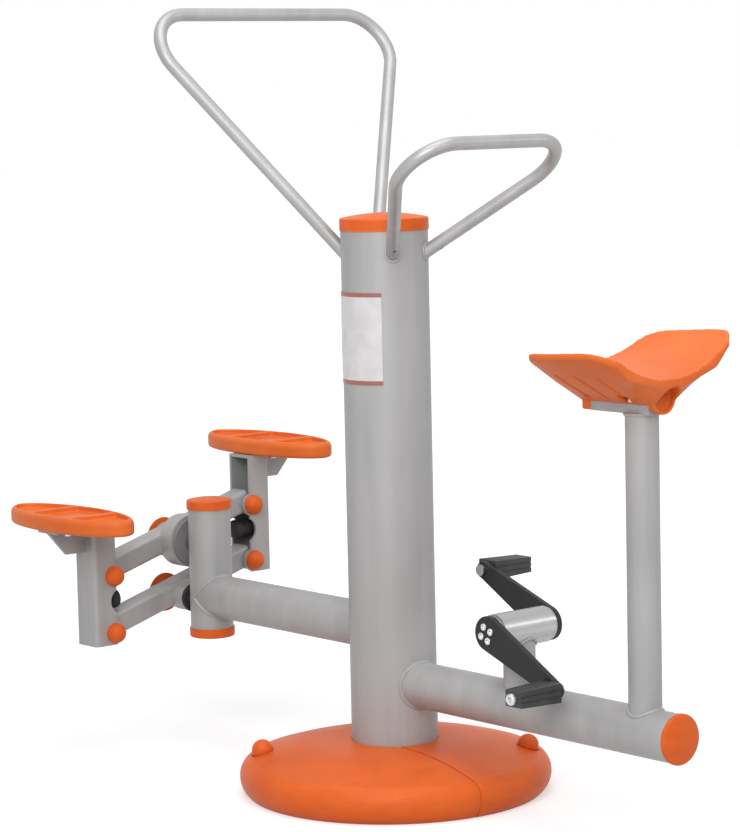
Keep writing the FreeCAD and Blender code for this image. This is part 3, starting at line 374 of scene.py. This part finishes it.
def oval(length, width, low, high):
    """Closed upright oval, long along X."""
    stretch = Matrix.Diagonal((length / 2, width / 2, high - low, 1))
    mesh = bmesh.new()
    bmesh.ops.create_cone(mesh, cap_ends=True, segments=96, radius1=1, radius2=1, depth=1,
                          matrix=Matrix.Translation((0, 0, (low + high) / 2)) @ stretch)
    return mesh


def scratch(mesh):
    """Object for a bmesh that only shapes another piece."""
    data = bpy.data.meshes.new("scratch")
    mesh.to_mesh(data)
    mesh.free()
    made = bpy.data.objects.new("scratch", data)
    bpy.context.scene.collection.objects.link(made)
    return made


def moulded(mesh, tools, voxel):
    """Plastic moulding: a body with tools joined on or cut out, then all its edges rounded off a little."""
    body = scratch(mesh)
    shapers = []
    for tool, operation in tools:
        joint = body.modifiers.new("joint", "BOOLEAN")
        joint.solver = "MANIFOLD"
        joint.operation = operation
        joint.object = scratch(tool)
        shapers.append(joint.object)
    skin = body.modifiers.new("skin", "REMESH")
    skin.mode = "VOXEL"
    skin.voxel_size = voxel
    ease = body.modifiers.new("ease", "SMOOTH")
    ease.iterations = 5
    result = bmesh.new()
    result.from_object(body, bpy.context.evaluated_depsgraph_get())
    for leftover in (body, *shapers):
        bpy.data.objects.remove(leftover)
    return result


def moulded_tray(name):
    """Oval tray with a round rim and two ribs across it."""
    foot_r, rim_r = 0.006, 0.012
    rim, recess = 0.013, 0.012
    rib, rib_x, rib_half, rib_dip = 0.014, 0.070, 0.063, 0.001
    low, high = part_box(name)
    length, width, thick = high - low
    tray = oval(length, width, 0, thick)
    for level, radius in ((0, foot_r), (thick, rim_r)):
        loop = [edge for edge in tray.edges if all(abs(vertex.co.z - level) < 1e-6 for vertex in edge.verts)]
        bmesh.ops.bevel(tray, geom=loop, offset=radius, segments=6, profile=0.5, affect="EDGES", material=-1)
    tools = [(oval(length - 2 * rim, width - 2 * rim, thick - recess, 2 * thick), "DIFFERENCE")]
    for x in (-rib_x, rib_x):
        bar = slab((x - rib / 2, -rib_half, thick / 2), (x + rib / 2, rib_half, thick - rib_dip))
        tools.append((bar, "UNION"))
    tray = moulded(tray, tools, 0.002)
    tray.transform(Matrix.Translation(((low.x + high.x) / 2, (low.y + high.y) / 2, low.z)))
    return tray


tread_plastic = orange_plastic("tread_plastic", (0.66, 0.125, 0.022, 1), (0.8, 0.18, 0.036, 1))
for side, hand in sides:
    foot = hand + "_foot"
    plate = hand + "_footplate"
    stop = hand + "_buffer"
    dress(frame_paint, foot + "_channel", foot + "_carrier", foot + "_gusset")
    dress(cap_plastic, foot + "_caps")
    dress(bolt_zinc, plate + "_screws", foot + "_bolts")
    piece(foot + "_tray", moulded_tray(plate), foot, "orange_plastic", tread_plastic, plate, crease=180)
    piece(foot + "_stop", turned_stop(stop, side), foot, "black_rubber", stop_rubber, stop)


# Bike arm: a steel tube welded to the post and closed by a moulded cap. A short upright tube on it carries
# the cross tube with the crank's bearings, which has a brighter coat.
def bright_paint():
    paint = Finish("bright_paint", Metallic=0.7)
    band = paint.stretched(paint.noise(1.0, 3.0, (120, 6, 120)), 0.3, 0.7)
    fine = paint.noise(900.0, 2.0)
    colour = paint.mixed(band, (0.37, 0.37, 0.37, 1), (0.46, 0.46, 0.46, 1))
    return paint.surface(colour, 0.25 + band * 0.12, fine, 0.08, 0.0005)


bike_arm_z = 0.217
upright_r = 0.03015
upright_bead = 0.0036
crank_axis = Vector((0.36, 0, 0.363))
shell_r = 0.034
onto_arm = onto_tube(up * bike_arm_z, Vector((1, 0, 0)), arm_r)
onto_shell = onto_tube(crank_axis, Vector((0, 1, 0)), shell_r)
dress(frame_paint, "bike_arm", "crank_bracket")
dress(bright_paint(), "crank_shell")
dress(cap_plastic, "bike_arm_cap")
dress(shaft_steel, "crank_bearings")
weld("bike_arm_weld", arm_r, (0.3, 0, bike_arm_z), (-1, 0, 0), onto_post)
weld("bracket_arm_weld", upright_r, (crank_axis.x, 0, 0.32), -up, onto_arm, upright_bead)
weld("bracket_shell_weld", upright_r, (crank_axis.x, 0, 0.29), up, onto_shell, upright_bead)


# Cranks: flat black arms screwed to the flanges of the crank axle. Each pedal turns on a steel axle bolted
# through the crank's tip, held by a round nut with a key socket.
def black_plastic(name, dark, pale):
    plastic = Finish(name, Specular_IOR_Level=0.28)
    haze = plastic.stretched(plastic.noise(18.0, 4.0), 0.35, 0.75)
    scuff = plastic.stretched(plastic.noise(90.0, 5.0, (1, 5, 2), 0.8), 0.64, 0.74)
    grain = plastic.noise(1000.0, 3.0)
    worn = (0.075, 0.073, 0.072, 1)
    colour = plastic.mixed(haze, (dark, dark, dark, 1), (pale, pale, pale, 1))
    colour = plastic.mixed(scuff * 0.35, colour, worn)
    return plastic.surface(colour, 0.42 + haze * 0.14 + scuff * 0.1, grain, 0.22, 0.0006)


def grown_vertices(mesh, face):
    """Extrude a face, and give the new vertices."""
    grown = bmesh.ops.extrude_face_region(mesh, geom=[face])["geom"]
    return [part for part in grown if isinstance(part, bmesh.types.BMVert)]


def socket_head(radius, height, socket_r, socket_depth, bevel):
    """Round screw head standing on Z = 0 with a six-sided key socket in its top."""
    flat = math.pi / 3
    mesh = bmesh.new()
    bmesh.ops.create_cone(mesh, cap_ends=True, segments=48, radius1=radius, radius2=radius, depth=height,
                          matrix=Matrix.Translation((0, 0, height / 2)))
    top = max(mesh.faces, key=lambda face: face.calc_center_median().z)
    bmesh.ops.bevel(mesh, geom=list(top.edges), offset=bevel, segments=3, profile=0.5, affect="EDGES",
                    material=-1)
    top = max(mesh.faces, key=lambda face: (round(face.calc_center_median().z, 6), face.calc_area()))
    bmesh.ops.inset_region(mesh, faces=[top], thickness=(radius - bevel) * 0.35)
    for vertex in top.verts:
        around = math.atan2(vertex.co.y, vertex.co.x) % flat - flat / 2
        reach = socket_r * math.cos(flat / 2) / math.cos(around)
        vertex.co.xy = vertex.co.xy.normalized() * reach
    bottom = grown_vertices(mesh, top)
    bmesh.ops.translate(mesh, vec=(0, 0, -socket_depth), verts=bottom)
    bmesh.ops.delete(mesh, geom=[top], context="FACES_ONLY")
    bmesh.ops.recalc_face_normals(mesh, faces=mesh.faces)
    return mesh


def gathered(meshes):
    """Several bmeshes in one, for like pieces in one node."""
    whole = bmesh.new()
    for mesh in meshes:
        part = bpy.data.meshes.new("part")
        mesh.to_mesh(part)
        mesh.free()
        whole.from_mesh(part)
        bpy.data.meshes.remove(part)
    return whole


def set_on(mesh, point, side):
    """Move a mesh that stands on Z to a point, facing out to the near or far side."""
    mesh.transform(Matrix.Translation(point) @ Matrix.Rotation(-side * math.pi / 2, 4, "X"))
    return mesh


crank_face = 0.081
crank_length = 0.192
crank_drop = math.radians(25)
screw_circle_r = 0.0135
crank_black = black_plastic("crank_black", 0.010, 0.019)
dress(shaft_steel, "crank_axle", "pedal_axles")
dress(crank_black, "near_crank", "far_crank")
screws = []
for side in (-1, 1):
    for quarter in range(4):
        turn = math.pi / 2 * (quarter + 0.25)
        spot = crank_axis + Vector((math.cos(turn), 0, math.sin(turn))) * screw_circle_r
        head = socket_head(radius=0.0068, height=0.004, socket_r=0.0032, socket_depth=0.0024, bevel=0.001)
        screws.append(set_on(head, (spot.x, side * crank_face, spot.z), side))
piece("crank_screw_heads", gathered(screws), "crank", "zinc_steel", bolt_zinc, "crank_screws")


# Pedals: moulded black blocks that taper to their free end, with grip grooves along all four sides.
def grooved_block(root, end, length, grooves, groove_width, groove_depth):
    """Block along +Z with lengthwise grooves: one grooved outline, extruded and scaled at its end."""
    edge_r = 0.0016
    groove_floor = 0.6
    sharp = 1.2
    half_w, half_h = root[0] / 2, root[1] / 2
    outline = []
    corners = [((half_w, -half_h), (half_w, half_h)), ((half_w, half_h), (-half_w, half_h)),
               ((-half_w, half_h), (-half_w, -half_h)), ((-half_w, -half_h), (half_w, -half_h))]
    for start, stop in corners:
        start, stop = Vector(start), Vector(stop)
        run = (stop - start).normalized()
        inward = Vector((-run.y, run.x))
        count = grooves if abs(run.x) > 0.5 else grooves - 2
        pitch = (stop - start).length / (count + 1)
        outline.append(start)
        for number in range(1, count + 1):
            middle = start + run * pitch * number
            wide = run * groove_width / 2
            bed = middle + inward * groove_depth
            outline += [middle - wide, bed - wide * groove_floor, bed + wide * groove_floor, middle + wide]
    mesh = bmesh.new()
    base = mesh.faces.new([mesh.verts.new((p.x, p.y, 0)) for p in outline])
    tips = grown_vertices(mesh, base)
    bmesh.ops.translate(mesh, vec=(0, 0, length), verts=tips)
    bmesh.ops.scale(mesh, vec=(end[0] / root[0], end[1] / root[1], 1), verts=tips)
    bmesh.ops.recalc_face_normals(mesh, faces=mesh.faces)
    rims = [e for e in mesh.edges if abs(e.verts[0].co.z - e.verts[1].co.z) < 1e-6]
    longs = [e for e in mesh.edges if e not in rims and e.calc_face_angle() > sharp]
    bmesh.ops.bevel(mesh, geom=rims + longs, offset=edge_r, segments=2, profile=0.5, affect="EDGES",
                    material=-1, clamp_overlap=True)
    return mesh


pedal_start, pedal_end = 0.082, 0.178
nut_gap = 0.001
pedal_black = black_plastic("pedal_black", 0.036, 0.06)
nuts = []
for side, hand in sides:
    tip = crank_axis + Vector((math.cos(crank_drop), 0, -math.sin(crank_drop))) * (-side * crank_length)
    block = grooved_block(root=(0.048, 0.036), end=(0.042, 0.030), length=pedal_end - pedal_start,
                          grooves=4, groove_width=0.0042, groove_depth=0.0016)
    set_on(block, (tip.x, side * pedal_start, tip.z), side)
    piece(hand + "_pedal_block", block, hand + "_pedal", "black_plastic", pedal_black, hand + "_pedal")
    nut = socket_head(radius=0.0105, height=0.0085, socket_r=0.0048, socket_depth=0.005, bevel=0.002)
    nuts.append(set_on(nut, (tip.x, side * (pedal_end + nut_gap), tip.z), side))
piece("pedal_round_nuts", gathered(nuts), "crank", "zinc_steel", bolt_zinc, "pedal_nuts")

# Seat post and mount: a steel tube welded on the arm, with a flat bar and an upright rib across its top.
# The saddle is slipped over the rib and held by one bolt through both.
seat_x = 0.685
post_top = 0.786
mount_top = 0.803
mount_dip = 0.001
mount_bead = 0.0032
dress(frame_paint, "seat_post", "seat_mount")
dress(bolt_zinc, "saddle_bolt")
weld("seat_post_weld", upright_r, (seat_x, 0, 0.35), -up, onto_arm)
weld("seat_mount_weld", upright_r, (seat_x, 0, post_top), up, lambda start, along: -mount_dip, mount_bead)


# Saddle: one hollow moulding of orange plastic with two raised wings, a lip over the front of the mount bar,
# a round socket behind and grooves across its flanks. It leans a little to the near side.
def curve_through(points, steps):
    """Points of a smooth curve through the given ones."""
    ends = (points[0], *points, points[-1])
    for around in zip(ends, ends[1:], ends[2:], ends[3:]):
        for t in (step / steps for step in range(steps)):
            yield [b + (c - a) * t / 2 + (2 * a - 5 * b + 4 * c - d) * t ** 2 / 2
                   + (3 * b - a - 3 * c + d) * t ** 3 / 2 for a, b, c, d in zip(*around)]
    yield points[-1]


def saddle_hull():
    """Hull lofted through cross-sections of (x, half width, rim, trough, bend half width, bend, keel)."""
    sections = ((-0.129, 0.147, 0.099, 0.064, 0.086, 0.041, 0.000),
                (-0.105, 0.166, 0.106, 0.063, 0.094, 0.043, 0.000),
                (-0.045, 0.173, 0.110, 0.061, 0.098, 0.045, 0.000),
                (0.015, 0.173, 0.114, 0.058, 0.099, 0.047, 0.000),
                (0.058, 0.168, 0.114, 0.053, 0.099, 0.050, 0.004),
                (0.085, 0.142, 0.102, 0.047, 0.107, 0.054, 0.031))
    keel_half = 0.024
    rim_t = 0.014
    edge_r = 0.004
    trough_parts = 32
    flank_parts = (5, 28, 28, 8)
    squeeze = 1 - edge_r / sections[-1][0]
    mesh = bmesh.new()
    loops = []
    for x, half, rim, trough, bend_half, bend, keel in curve_through(sections, 8):
        x *= squeeze
        trough_r = (half ** 2 + (rim - trough) ** 2) / (2 * (rim - trough))
        spread = math.asin(half / trough_r)
        far = []
        for part in range(trough_parts):
            turn = spread * part / trough_parts
            far.append(Vector((x, trough_r * math.sin(turn), trough + trough_r * (1 - math.cos(turn)))))
        corners = [(half, rim), (half, rim - rim_t), (bend_half, bend), (keel_half, keel), (0, keel)]
        corners = [Vector((x, y, z)) for y, z in corners]
        for start, stop, count in zip(corners, corners[1:], flank_parts):
            far += [start.lerp(stop, part / count) for part in range(count)]
        loop = far + corners[-1:] + [Vector((x, -p.y, p.z)) for p in reversed(far[1:])]
        for smoothing in range(4):
            loop = [(a + 2 * b + c) / 4 for a, b, c in zip(loop[-1:] + loop, loop, loop[1:] + loop[:1])]
        ring = [mesh.verts.new(point) for point in loop]
        loops.append([mesh.edges.new((a, b)) for a, b in zip(ring, ring[1:] + ring[:1])])
    for first, second in zip(loops, loops[1:]):
        bmesh.ops.bridge_loops(mesh, edges=first + second)
    ends = [bmesh.ops.contextual_create(mesh, geom=loop)["faces"] for loop in (loops[0], loops[-1])]
    bmesh.ops.recalc_face_normals(mesh, faces=mesh.faces)
    for end in ends:
        for inward, outward in ((0.25, 0.7), (0.7, 0.3)):
            bmesh.ops.inset_region(mesh, faces=end, thickness=edge_r * inward, depth=edge_r * outward)
    return mesh


def cylinder(radius, start, end):
    """Closed cylinder between two points."""
    start, end = Vector(start), Vector(end)
    turn = up.rotation_difference(end - start).to_matrix().to_4x4()
    mesh = bmesh.new()
    bmesh.ops.create_cone(mesh, cap_ends=True, segments=48, radius1=radius, radius2=radius,
                          depth=(end - start).length, matrix=Matrix.Translation((start + end) / 2) @ turn)
    return mesh


def moulded_saddle():
    """The hull with its lip, socket, room for the mount, bolt holes, and the marks on its flanks."""
    lean = Matrix.Rotation(math.radians(3.1), 4, "X")
    bar_front, bar_rear, bar_half = -0.103, 0.039, 0.023
    rib_half, rib_top = 0.0055, 0.0305
    gap = 0.0006
    boss_r, socket_r, socket_z = 0.028, 0.023, 0.011
    bolt_r, bolt_z = 0.0095, 0.0105
    flank_y, flank_z, flank_tilt = 0.088, 0.0395, 0.56
    dimple_r, dimple_x, dimple_y = 0.006, -0.094, 0.055
    groove_half = 0.0035
    clear = 0.2
    hull = saddle_hull()
    hull.transform(lean)
    lip = slab((-0.127, -bar_half, -0.017), (bar_front - gap, bar_half, 0.012))
    boss = cylinder(boss_r, (bar_rear + gap, 0, socket_z), (0.057, 0, socket_z))
    cuts = [cylinder(socket_r, (0.045, 0, socket_z), (clear, 0, socket_z)),
            slab((bar_front - gap, -clear, -0.1), (bar_rear + gap, clear, 0)),
            slab((bar_front, -rib_half, -0.1), (bar_rear, rib_half, rib_top))]
    for side in (-1, 1):
        cuts.append(cylinder(bolt_r, (0, side * 0.0235, bolt_z), (0, side * clear, bolt_z)))
        tilt = Matrix.Rotation(side * flank_tilt, 4, "X")
        flank = lean @ Matrix.Translation((0, side * flank_y, flank_z)) @ tilt
        spot = -side * dimple_y
        marks = [cylinder(dimple_r, (dimple_x, spot, -0.01), (dimple_x, spot, 0.008))]
        for x in (-0.088, -0.040, 0.012):
            marks.append(slab((x - groove_half, -0.04, -0.006), (x + groove_half, 0.055, 0.0045)))
        for mark in marks:
            mark.transform(flank)
        cuts += marks
    mesh = moulded(hull, [(lip, "UNION"), (boss, "UNION")] + [(cut, "DIFFERENCE") for cut in cuts], 0.0022)
    mesh.transform(Matrix.Translation((seat_x, 0, mount_top)))
    return mesh


piece("saddle_moulding", moulded_saddle(), "frame", "orange_plastic", tread_plastic, "saddle", crease=180)


# Floor: a wide pale sheet just under the base plate. It shows as white to the camera and keeps the
# station's shadow.
def in_sight(nodes):
    """1 where the camera or a shiny piece sees a surface, 0 where the surface only lights others."""
    seen = nodes.node("ShaderNodeLightPath", output="Is Camera Ray")
    mirrored = nodes.node("ShaderNodeLightPath", output="Is Glossy Ray")
    return seen + mirrored


def pale_floor():
    sheet = Finish("pale_floor", Roughness=0.9, Specular_IOR_Level=0.1, Emission_Strength=1.0)
    speckle = sheet.noise(30.0, 3.0)
    colour = sheet.mixed(speckle, (0.58, 0.58, 0.58, 1), (0.64, 0.64, 0.64, 1))
    sheet.feed(sheet.shader.inputs["Base Color"], colour)
    away = sheet.node("ShaderNodeVectorMath", {"operation": "LENGTH"}, {0: sheet.place}, output="Value")
    glow = sheet.mixed(sheet.stretched(away, 0.6, 3.2), (0.5, 0.5, 0.5, 1), (0.8, 0.8, 0.8, 1))
    glow = sheet.mixed(in_sight(sheet), (0, 0, 0, 1), glow)
    sheet.feed(sheet.shader.inputs["Emission Color"], glow)
    return sheet.material


floor_half = 40
floor_gap = 0.0003
ground = bmesh.new()
bmesh.ops.create_grid(ground, x_segments=1, y_segments=1, size=floor_half,
                      matrix=Matrix.Translation((0, 0, -floor_gap)))
floor_data = bpy.data.meshes.new("floor")
ground.to_mesh(floor_data)
ground.free()
floor_data.materials.append(pale_floor())
floor = bpy.data.objects.new("floor", floor_data)
bpy.context.scene.collection.objects.link(floor)


# Studio light: an even white room and four soft boxes, above, in front to the left, to the right, and one
# behind that lays the bright line on the crank's cross tube.
def soft_box(name, place, target, size, power):
    lamp = bpy.data.lights.new(name, "AREA")
    lamp.shape = "SQUARE"
    lamp.size = size
    lamp.energy = power
    box = bpy.data.objects.new(name, lamp)
    box.location = place
    box.rotation_mode = "QUATERNION"
    box.rotation_quaternion = (Vector(target) - Vector(place)).to_track_quat("-Z", "Y")
    bpy.context.scene.collection.objects.link(box)


room_light = 0.43
room = bpy.data.worlds.new("white_room")
room.use_nodes = True
walls = Nodes(room.node_tree)
backdrop = walls.tree.nodes["Background"]
walls.feed(backdrop.inputs["Color"], (1, 1, 1, 1))
walls.feed(backdrop.inputs["Strength"], room_light + in_sight(walls) * (1 - room_light))
bpy.context.scene.world = room
soft_box("top_box", (0.4, -0.4, 4.4), (0, 0, 0.6), 3.0, 75)
soft_box("front_box", (3.0, -3.6, 3.2), (0, 0, 0.8), 3.0, 160)
soft_box("side_box", (4.6, 0.2, 3.0), (0.2, 0, 0.6), 1.8, 22)
soft_box("rear_box", (3.3, 3.35, 2.6), (0.36, 0, 0.4), 0.9, 14)

# Camera: at the photograph's place, a little above the saddle, looking down at the near side from the bike's
# end. The small shift and the roll are the photograph's own.
image_width, image_height = 740, 832
focal_px = 2942
middle_px = 388.1
sensor = 36
camera_data = bpy.data.cameras.new("camera")
camera_data.sensor_width = sensor
camera_data.lens = focal_px / image_height * sensor
camera_data.shift_x = (image_width / 2 - middle_px) / image_height
camera = bpy.data.objects.new("camera", camera_data)
azimuth, pitch, roll = math.radians(49.64), math.radians(6.33), math.radians(1.24)
distance, eye_height = 5.633, 1.357
away = Vector((math.sin(azimuth), -math.cos(azimuth), 0))
right = Vector((math.cos(azimuth), math.sin(azimuth), 0))
ahead = -away * math.cos(pitch) - up * math.sin(pitch)
above = right.cross(ahead)
across = right * math.cos(roll) - above * math.sin(roll)
upward = right * math.sin(roll) + above * math.cos(roll)
turned = Matrix((across, upward, -ahead)).transposed().to_4x4()
camera.matrix_world = Matrix.Translation(away * distance + up * eye_height) @ turned
bpy.context.scene.collection.objects.link(camera)
bpy.context.scene.camera = camera

bpy.context.scene.view_settings.view_transform = "Standard"
